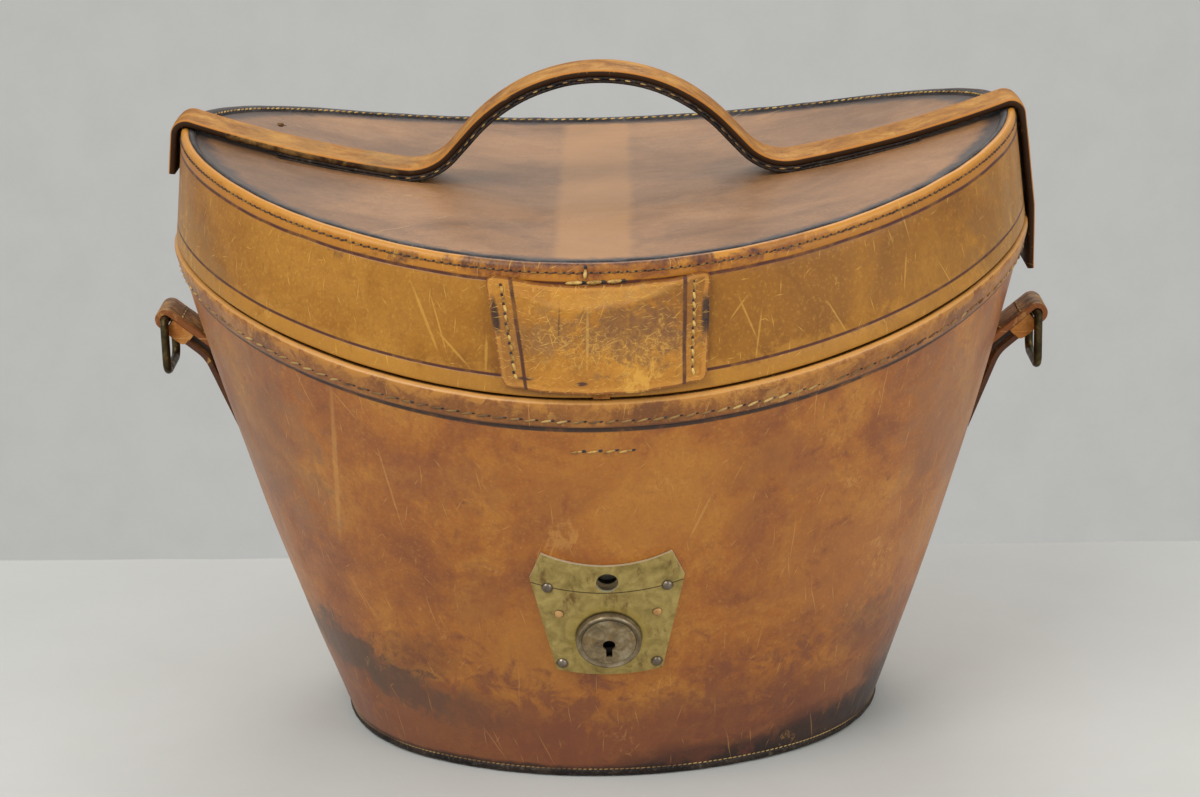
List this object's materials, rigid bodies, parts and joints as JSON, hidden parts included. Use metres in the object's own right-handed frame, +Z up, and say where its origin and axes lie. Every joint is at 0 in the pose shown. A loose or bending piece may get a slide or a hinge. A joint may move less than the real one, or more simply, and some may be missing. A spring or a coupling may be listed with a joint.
{
  "type": "hat box",
  "caption": "Oval leather hat box that widens upward, with a hinged saddle-shaped lid, an arched carrying handle, strap rings and a riveted brass lock.",
  "frame": {"origin": "middle of the underside", "axes": "+Z up, +X along the length to the right as seen from the front, the lock side faces -Y"},
  "size_m": [0.3584, 0.2871, 0.2643],
  "materials": {
    "body_leather": "waxed and worn",
    "lid_leather": "waxed and worn",
    "top_leather": "dull, darkened",
    "rim_leather": "waxed",
    "strap_leather": "smooth",
    "raw_leather": "raw cut",
    "hinge_leather": "smooth",
    "dark_welt": "blackened",
    "lining_cloth": "plain weave",
    "lock_brass": "aged",
    "lock_steel": "dull",
    "pin_copper": "filed flush",
    "ring_metal": "dark bronzed"
  },
  "bodies": {
    "case": {"base_board": "body_leather", "base_welt": "dark_welt", "base_pad_lining": "lining_cloth", "body_shell": "body_leather", "body_lining": "lining_cloth", "body_rim_band": "rim_leather", "rim_lining_band": "rim_leather", "inner_lip": "rim_leather", "hinge_body_leaf": "hinge_leather", "ring_strap_left": "strap_leather", "ring_tail_left": "strap_leather", "ring_filler_left": "raw_leather", "ring_strap_right": "strap_leather", "ring_tail_right": "strap_leather", "ring_filler_right": "raw_leather", "lock_plate": "lock_brass", "lock_boss": "lock_steel", "lock_case": "lock_steel", "lock_cover": "lock_steel", "lock_rivets": "lock_steel", "lock_pins": "pin_copper"},
    "lid": {"lid_band": "lid_leather", "lid_top": "top_leather", "lid_edge_welt": "dark_welt", "lid_lining": "lining_cloth", "lid_top_lining": "lining_cloth", "front_tab": "lid_leather", "seam_strip": "rim_leather", "hinge_lid_leaf": "hinge_leather", "handle_strap": "strap_leather", "handle_filler": "dark_welt", "handle_under_strap": "rim_leather"},
    "ring_left": {"ring_left": "ring_metal"},
    "ring_right": {"ring_right": "ring_metal"},
    "plug": {"lock_plug": "lock_steel"},
    "bolt": {"lock_bolt": "lock_steel"}
  },
  "joints": [
    {"name": "lid_hinge", "type": "hinge", "parent": "case", "child": "lid", "pos_m": [0, 0.1434, 0.169], "axis": [-1, 0, 0], "range_deg": [0, 110]},
    {"name": "ring_left_swing", "type": "hinge", "parent": "case", "child": "ring_left", "pos_m": [-0.17578, 0, 0.168], "axis": [0, 1, 0], "range_deg": [-30, 165]},
    {"name": "ring_right_swing", "type": "hinge", "parent": "case", "child": "ring_right", "pos_m": [0.17421, 0, 0.162], "axis": [0, -1, 0], "range_deg": [-30, 165]},
    {"name": "plug_turn", "type": "hinge", "parent": "case", "child": "plug", "pos_m": [0, -0.11174, 0.0675], "axis": [0, 0.9521, 0.3058], "range_deg": [0, 90]},
    {"name": "bolt_slide", "type": "slide", "parent": "case", "child": "bolt", "axis": [0, 0.3058, -0.9521], "range_m": [0, 0.00424]}
  ],
  "couplings": [
    {"joint": "plug_turn", "follows": "bolt_slide", "rad_per_m": 370.24}
  ]
}
